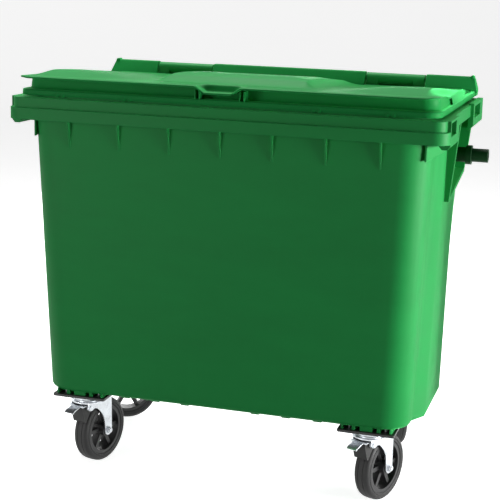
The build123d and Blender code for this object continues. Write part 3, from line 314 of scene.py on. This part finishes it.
def lid_height(x, y):
    """The top surface of the lid over a point of its plan."""
    ax = np.abs(x)
    z = plain_top(y)
    # Shallow domes on both sides
    along = ramp(y, -350.0, -215.0) * (1.0 - 0.80 * ramp(y, -190.0, 330.0))
    across = ramp(ax, 255.0, 470.0) * (1.0 - 0.55 * ramp(ax, 548.0, 602.0))
    z = z + DOME_HEIGHT * along * across
    # The raised middle: a sloped front, rounded corners and a convex top
    side_in = (250.0 - ax) / 48.0
    front_in = (y + 266.0) / 62.0
    rear_in = (338.0 - y) / 60.0
    nearest = np.minimum(side_in, rear_in)
    both = np.minimum(front_in, nearest)
    corner = np.sqrt(np.clip(1.0 - front_in, 0, None) ** 2 + np.clip(1.0 - nearest, 0, None) ** 2)
    both = np.where((front_in < 1.0) & (nearest < 1.0), 1.0 - corner, both)
    inside = np.clip(both, 0.0, 1.0)
    slope = inside * inside * (1.6 - 0.6 * inside)
    crown = ramp(front_in, 0.8, 1.75) * ramp(nearest, 0.2, 1.9)
    tall = PLATEAU_HEIGHT - PLATEAU_FALL * ramp(y, 40.0, 290.0)
    z = z + tall * slope + (10.0 - 6.0 * ramp(y, -150.0, 260.0)) * crown * slope
    # The front and side edges round over
    z = z - 2.2 * ramp(-y, 376.0, 388.0)
    droop = ramp(y, -345.0, -150.0) * (1.0 - ramp(y, -100.0, 250.0))
    z = z - 11.0 * droop * ramp(ax, 552.0, 600.0)
    # Behind the side lip the edge turns down to the skirt as a facet
    share = np.clip((y - FACET_FRONT) / (FACET_REAR - FACET_FRONT), 0.0, 1.0)
    edge = 597.0 - 28.0 * share
    fall = np.clip((ax - edge) / (EDGE_HALF_X - edge), 0.0, 1.0)
    faceted = ramp(y, FACET_FRONT - 5.0, FACET_FRONT + 4.0)
    z = z + faceted * fall * (LEDGE_Z - 2.0 * share + 0.3 - z)
    # The grab scoop: a flat floor, leaning cheeks and a steep back wall
    scoop_side = np.clip((66.0 - ax) / 27.0, 0.0, 1.0)
    scoop = scoop_side * (1.0 - np.clip((y + 352.0) / 9.0, 0.0, 1.0))
    z = z - SCOOP_DEPTH * scoop
    # A rolled edge along the top of the back wall
    return z + 2.4 * ramp(ax, 62.0, 46.0) * ramp(y, -344.0, -340.0) * ramp(y, -328.0, -336.0)


def rounded_plan(half_x, front, back, radius):
    """Points round a rounded rectangle, anticlockwise from the front left. The rear is squarer."""
    rear_r = min(radius, REAR_CORNER_R)
    turn = np.radians(np.linspace(0, 90, 18))[1:-1]
    front_x = np.linspace(-(half_x - radius), half_x - radius, 250)
    rear_x = np.linspace(half_x - rear_r, -(half_x - rear_r), 250)
    side_y = np.linspace(front + radius, back - rear_r, 150)
    centre, rear_centre = half_x - radius, half_x - rear_r
    parts = [
        np.column_stack([front_x, np.full_like(front_x, front)]),
        np.column_stack([centre + radius * np.sin(turn), front + radius - radius * np.cos(turn)]),
        np.column_stack([np.full_like(side_y, half_x), side_y]),
        np.column_stack([rear_centre + rear_r * np.cos(turn), back - rear_r + rear_r * np.sin(turn)]),
        np.column_stack([rear_x, np.full_like(rear_x, back)]),
        np.column_stack([-rear_centre - rear_r * np.sin(turn), back - rear_r + rear_r * np.cos(turn)]),
        np.column_stack([np.full_like(side_y, -half_x), side_y[::-1]]),
        np.column_stack([-centre - radius * np.cos(turn), front + radius - radius * np.sin(turn)]),
    ]
    return np.concatenate(parts)


def stacked_rings(name, rings, material):
    """A skin through rings that all have the same number of points."""
    count = len(rings[0])
    verts = np.concatenate(rings) * MM
    faces = []
    for level in range(len(rings) - 1):
        low, high = level * count, (level + 1) * count
        for i in range(count):
            j = (i + 1) % count
            faces.append((low + i, low + j, high + j, high + i))
    mesh = bpy.data.meshes.new(name)
    mesh.from_pydata(verts.tolist(), [], faces)
    obj = bpy.data.objects.new(name, mesh)
    scene.collection.objects.link(obj)
    bm = bmesh.new()
    bm.from_mesh(mesh)
    bmesh.ops.remove_doubles(bm, verts=bm.verts, dist=0.00015)
    bmesh.ops.recalc_face_normals(bm, faces=bm.faces)
    bm.to_mesh(mesh)
    bm.free()
    mesh.polygons.foreach_set("use_smooth", [True] * len(mesh.polygons))
    mesh.materials.append(material)
    return obj


def flat_ring(half_x, front, back, radius, z):
    plan = rounded_plan(half_x, front, back, radius)
    return np.column_stack([plan, np.full(len(plan), z)])


def draped_ring(half_x, front, back, radius, drop, lowest=None):
    """A ring that follows the top surface, some way under it."""
    plan = rounded_plan(half_x, front, back, radius)
    # Behind the side lip there is no overhang: the edge meets the skirt.
    behind = ramp(plan[:, 1], FACET_FRONT - 5.0, FACET_FRONT + 4.0)
    wide = 1.0 + behind * (EDGE_HALF_X / 600.0 - 1.0)
    plan = np.column_stack([plan[:, 0] * wide, plan[:, 1]])
    z = lid_height(plan[:, 0], plan[:, 1]) - drop
    if lowest is not None:
        z = np.maximum(z, lowest)
    return np.column_stack([plan, z])


def lid_skin():
    """Rings from the flange's inner edge, round it, up the skirt, out under the lip and over the top."""
    rings = [
        flat_ring(602.0, -360.0, 341.0, 40.0, 1139.2),
        flat_ring(602.6, -360.6, 341.6, 40.6, 1138.0),
        flat_ring(605.0, -363.0, 344.0, 43.0, 1138.0),
        flat_ring(606.0, -364.0, 345.0, CORNER_R, 1139.3),
        flat_ring(605.6, -363.6, 344.6, CORNER_R, 1151.6),
        flat_ring(604.9, -362.9, 344.2, CORNER_R, 1153.2),
        flat_ring(603.2, -361.2, 343.8, CORNER_R, LEDGE_Z),
        flat_ring(598.0, -335.0, 343.4, CORNER_R, LEDGE_Z + 0.2),
        flat_ring(595.4, -332.0, 343.2, CORNER_R, LEDGE_Z + 1.2),
        flat_ring(594.4, -330.8, 343.0, CORNER_R, LEDGE_Z + 4.0),
    ]
    for half_x, front, drop in ((592.6, -327.6, 8.5), (593.0, -328.4, 6.3), (594.0, -330.6, 5.2)):
        rings.append(draped_ring(half_x, front, 342.8, CORNER_R, drop, LEDGE_Z - 1.0))
    for share in np.linspace(0.08, 1.0, 14):
        half_x = 594.0 + 5.0 * share
        front = -331.0 - 54.6 * share
        rear = 342.8 + 0.8 * share
        rings.append(draped_ring(half_x, front, rear, CORNER_R, LIP_THICK, LEDGE_Z - 1.0))
    for out, drop in ((0.55, 4.5), (1.0, 3.4), (1.0, 1.6), (0.6, 0.6), (0.0, 0.1)):
        rings.append(draped_ring(LIP_HALF_X + out, LIP_RING_FRONT - out, 343.6, CORNER_R, drop))
    inset = 0.0
    while inset < CAP_MIDDLE:
        step = 1.5 if inset < 6 else 2.5 if inset < 55 else 5.0 if inset < 150 else 8.0
        inset = min(inset + step, CAP_MIDDLE)
        radius = max(CORNER_R - inset, 0.4)
        rings.append(
            draped_ring(LIP_HALF_X - inset, LIP_RING_FRONT + inset, 343.6 - inset, radius, 0.0)
        )
    return rings


lid_shell = stacked_rings("lid_shell", lid_skin(), lid_plastic)
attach(lid_shell, "lid")
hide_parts("lid")


def lid_lining():
    """The hollow underside, 4 mm inside the skin."""
    rings = [
        flat_ring(602.0, -360.0, 341.0, 40.0, 1139.2),
        flat_ring(602.0, -360.0, 341.0, 40.0, 1150.0),
        flat_ring(585.0, -329.0, 339.8, 40.0, 1150.4),
        flat_ring(582.4, -326.6, 339.4, 40.0, 1153.0),
    ]
    for inset, drop in ((0.0, 9.0), (3.0, 5.2)):
        half_x, front, rear = LINING_HALF_X - inset, LINING_FRONT + inset, LINING_REAR - inset
        rings.append(draped_ring(half_x, front, rear, 40.0 - inset, drop, 1151.0))
    inset = 3.0
    while inset < LINING_MIDDLE - 0.4:
        inset = min(inset + (6.0 if inset < 120 else 12.0), LINING_MIDDLE)
        half_x, front, rear = LINING_HALF_X - inset, LINING_FRONT + inset, LINING_REAR - inset
        rings.append(draped_ring(half_x, front, rear, max(40.0 - inset, 0.4), 4.4))
    return rings


lining = stacked_rings("lid_lining", lid_lining(), lid_plastic)
for polygon in lining.data.polygons:
    polygon.flip()
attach(lining, "lid")


# ---- The ridge along the hinge ------------------------------------------

RIDGE_TOP_Z = 1197.0
RIDGE_TALL = 45.0
RIDGE_EDGE_R = 1.6
RIDGE_SPLAY = 14.0
RIDGE = (
    (336.0, 1149.0), (336.0, 1156.0), (358.0, 1193.5), (361.0, 1197.0), (378.0, 1197.0),
    (387.0, 1188.0), (387.0, 1163.0), (375.0, 1153.0), (346.0, 1149.0),
)


def ridge_section(name, low_x, high_x, low_splay=0.0, high_splay=0.0):
    """A moulded prism along X with rounded edges. Its ends may lean out."""
    bm = bmesh.new()
    ends = []
    for x, splay in ((low_x, low_splay), (high_x, high_splay)):
        ends.append([
            bm.verts.new((
                x * MM + splay * MM * (RIDGE_TOP_Z - z) / RIDGE_TALL, y * MM, z * MM
            ))
            for y, z in RIDGE
        ])
    count = len(RIDGE)
    bm.faces.new(ends[0])
    bm.faces.new(ends[1][::-1])
    for i in range(count):
        j = (i + 1) % count
        bm.faces.new((ends[0][j], ends[0][i], ends[1][i], ends[1][j]))
    bmesh.ops.recalc_face_normals(bm, faces=bm.faces)
    bmesh.ops.bevel(
        bm, geom=bm.edges[:], offset=RIDGE_EDGE_R * MM, segments=3, profile=0.6, affect="EDGES",
        clamp_overlap=True,
    )
    mesh = bpy.data.meshes.new(name)
    bm.to_mesh(mesh)
    bm.free()
    obj = bpy.data.objects.new(name, mesh)
    scene.collection.objects.link(obj)
    mesh.polygons.foreach_set("use_smooth", [True] * len(mesh.polygons))
    mesh.materials.append(lid_plastic)
    split = obj.modifiers.new("split", "EDGE_SPLIT")
    split.split_angle = math.radians(RIDGE_SMOOTH_ANGLE)
    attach(obj, "lid")
    return obj


ridge_section("lid_ridge_left", -598.0, -448.0, low_splay=-RIDGE_SPLAY)
ridge_section("lid_ridge_middle", -254.0, 254.0)
ridge_section("lid_ridge_right", 448.0, 598.0, high_splay=RIDGE_SPLAY)


def rounded_rod(name, start, end, radius, material, body, dome=0.35):
    """A short moulded rod with domed ends."""
    axis = (Vector(end) - Vector(start)) * MM
    length = axis.length
    steps = [(0.0, 0.05), (0.02, 0.55), (0.08, 0.85), (0.18, 1.0)]
    profile = [(dome * radius * MM * t / 0.18, r * radius * MM) for t, r in steps]
    profile += [(length - t, r) for t, r in reversed(profile)]
    sides = 28
    rings = []
    turn = Vector((0, 0, 1)).rotation_difference(axis).to_matrix().to_4x4()
    where = Matrix.Translation(Vector(start) * MM) @ turn
    for along, r in profile:
        angles = np.linspace(0, 2 * math.pi, sides, endpoint=False)
        ring = [where @ Vector((r * math.cos(a), r * math.sin(a), along)) for a in angles]
        rings.append(np.array([list(v) for v in ring]) / MM)
    obj = stacked_rings(name, rings, material)
    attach(obj, body)
    return obj


for side, side_name in ((-1, "left"), (1, "right")):
    rounded_rod(
        "lid_knob_" + side_name, (side * 592.0, 356.0, 1194.5), (side * 592.0, 384.0, 1194.5),
        6.5, lid_plastic, "lid",
    )


# ---- Small ribs and stops -----------------------------------------------

def moulded_block(name, low, high, body, material, edge=1.2):
    """A small block with rounded edges, from its low corner to its high corner."""
    bm = bmesh.new()
    bmesh.ops.create_cube(bm, size=1.0)
    for vert in bm.verts:
        for axis in range(3):
            middle, size = (low[axis] + high[axis]) / 2, high[axis] - low[axis]
            vert.co[axis] = (middle + vert.co[axis] * size) * MM
    bmesh.ops.bevel(
        bm, geom=bm.edges[:], offset=edge * MM, segments=2, profile=0.6, affect="EDGES",
        clamp_overlap=True,
    )
    mesh = bpy.data.meshes.new(name)
    bm.to_mesh(mesh)
    bm.free()
    mesh.materials.append(material)
    obj = bpy.data.objects.new(name, mesh)
    scene.collection.objects.link(obj)
    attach(obj, body)
    return obj


# Ribs that stiffen the lip on both sides of the scoop
for rib_x in (-70.0, -58.0, 58.0, 70.0):
    moulded_block(
        f"lid_rib_{int(rib_x)}", (rib_x - 1.6, -368.0, LEDGE_Z - 0.5), (rib_x + 1.6, -329.0, 1180.0),
        "lid", lid_plastic,
    )
# Pairs of stops that stand down from the flange over the rim
for stop_x in (-474.0, -272.0, 272.0, 474.0):
    for shift in (-9.0, 9.0):
        rounded_rod(
            f"lid_stop_{int(stop_x + shift)}", (stop_x + shift, -365.2, 1141.0),
            (stop_x + shift, -358.0, 1141.0), 6.0, lid_plastic, "lid",
        )
# The ends of the hinge ridge stand on the rear corners of the flange
for side, side_name in ((-1, "left"), (1, "right")):
    inner, outer = sorted((side * 574.0, side * 609.0))
    moulded_block(
        "lid_heel_" + side_name, (inner, 336.0, 1139.5), (outer, 386.0, 1153.0),
        "lid", lid_plastic, edge=2.5,
    )


# ---- Floor, light and camera --------------------------------------------

FLOOR_SIDES = 96
FLOOR_FLAT_R = 9.0
FLOOR_CURVE_R = 3.0
FLOOR_WALL_TOP = 9.0
FLOOR_GLOW = 0.80
FLOOR_DARK = (0.86, 0.86, 0.86, 1)
FLOOR_LIGHT = (0.90, 0.90, 0.90, 1)


def floor_plane():
    """A pale round floor that curves up into a wall, so that every view has the same backdrop."""
    bm = bmesh.new()
    profile = [(FLOOR_FLAT_R - 0.5, 0.0), (FLOOR_FLAT_R, 0.0)]
    profile += [
        (FLOOR_FLAT_R + FLOOR_CURVE_R * math.sin(a), FLOOR_CURVE_R * (1.0 - math.cos(a)))
        for a in (math.radians(step) for step in range(6, 91, 6))
    ]
    profile.append((FLOOR_FLAT_R + FLOOR_CURVE_R, FLOOR_WALL_TOP))
    rows = []
    for radius, height in profile:
        angles = [2.0 * math.pi * side / FLOOR_SIDES for side in range(FLOOR_SIDES)]
        rows.append([bm.verts.new((radius * math.cos(a), radius * math.sin(a), height)) for a in angles])
    bm.faces.new(rows[0])
    for low, high in zip(rows, rows[1:]):
        for side in range(FLOOR_SIDES):
            after = (side + 1) % FLOOR_SIDES
            bm.faces.new((low[side], high[side], high[after], low[after]))
    mesh = bpy.data.meshes.new("floor")
    bm.to_mesh(mesh)
    bm.free()
    mesh.polygons.foreach_set("use_smooth", [True] * len(mesh.polygons))
    obj = bpy.data.objects.new("floor", mesh)
    scene.collection.objects.link(obj)
    mat, tree, bsdf = new_material("studio_floor")
    cloud = noise(tree, (1, 1, 1), 1.3, 3.0, 0.5)
    tone = mix(tree, remap(tree, cloud, 0.3, 0.7, 0.0, 1.0), FLOOR_DARK, FLOOR_LIGHT)
    tree.links.new(tone, bsdf.inputs["Base Color"])
    bsdf.inputs["Roughness"].default_value = 0.75
    bsdf.inputs["Specular IOR Level"].default_value = 0.1
    bsdf.inputs["Emission Color"].default_value = (1, 1, 1, 1)
    bsdf.inputs["Emission Strength"].default_value = FLOOR_GLOW
    mesh.materials.append(mat)
    obj.visible_diffuse = False
    obj.visible_shadow = False
    return obj


floor_plane()

WORLD_FRONT = 0.30
WORLD_BACK = 0.70
WORLD_RIGHT = 0.55
WORLD_BELOW = 0.8


def studio_world():
    """Soft light from all round: strong from behind and the right, weak from the front and below."""
    world = bpy.data.worlds.new("studio")
    scene.world = world
    world.use_nodes = True
    tree = world.node_tree
    coord = tree.nodes.new("ShaderNodeTexCoord")
    direction = tree.nodes.new("ShaderNodeSeparateXYZ")
    tree.links.new(coord.outputs["Generated"], direction.inputs[0])
    level = combine(
        tree, "ADD",
        remap(tree, direction.outputs["Y"], -0.6, 0.8, 0.0, WORLD_BACK),
        remap(tree, direction.outputs["X"], 0.0, 0.9, 0.0, WORLD_RIGHT),
    )
    level = combine(tree, "ADD", level, WORLD_FRONT)
    above = remap(tree, direction.outputs["Z"], -0.25, 0.15, WORLD_BELOW, 1.0)
    level = combine(tree, "MULTIPLY", level, above)
    tree.links.new(level, tree.nodes["Background"].inputs["Strength"])


studio_world()


def area_light(name, at, aim, width, height, power):
    data = bpy.data.lights.new(name, "AREA")
    data.shape = "RECTANGLE"
    data.size = width
    data.size_y = height
    data.energy = power
    obj = bpy.data.objects.new(name, data)
    scene.collection.objects.link(obj)
    obj.location = at
    obj.rotation_euler = (Vector(aim) - Vector(at)).to_track_quat("-Z", "Y").to_euler()
    return obj


area_light("overhead", (-0.9, 1.2, 3.9), (-0.2, -0.1, 0.9), 2.4, 1.7, 145.0)
area_light("right_side", (4.3, -0.1, 0.80), (0.5, 0.0, 0.80), 2.6, 0.9, 290.0)
area_light("front_left", (-2.8, -3.6, 1.0), (-0.3, 0.0, 0.6), 1.8, 2.2, 52.0)
area_light("rear_fill", (-1.5, 4.6, 0.9), (0.0, 0.3, 0.7), 2.6, 1.4, 90.0)

CAMERA_AT = (1.1020, -3.7897, 1.5114)
CAMERA_ANGLES = (16.319, 12.115, 1.648)     # azimuth, elevation and roll, in degrees
SENSOR_WIDTH = 36.0
FOCAL_SHARE = 1317.36 / 500.0               # the focal length as a share of the picture's width
azimuth, elevation, roll = (math.radians(a) for a in CAMERA_ANGLES)
back = Vector((
    math.sin(azimuth) * math.cos(elevation), -math.cos(azimuth) * math.cos(elevation), math.sin(elevation)
))
right = (-back).cross(Vector((0, 0, 1))).normalized()
up = right.cross(-back)
turned_right = math.cos(roll) * right + math.sin(roll) * up
turned_up = math.cos(roll) * up - math.sin(roll) * right
camera_data = bpy.data.cameras.new("camera")
camera_data.sensor_width = SENSOR_WIDTH
camera_data.lens = SENSOR_WIDTH * FOCAL_SHARE
camera_data.clip_end = 100.0
camera = bpy.data.objects.new("camera", camera_data)
scene.collection.objects.link(camera)
pose = Matrix((turned_right, turned_up, back)).transposed().to_4x4()
pose.translation = Vector(CAMERA_AT)
camera.matrix_world = pose
scene.camera = camera

scene.view_settings.view_transform = "Standard"
scene.view_settings.look = "None"
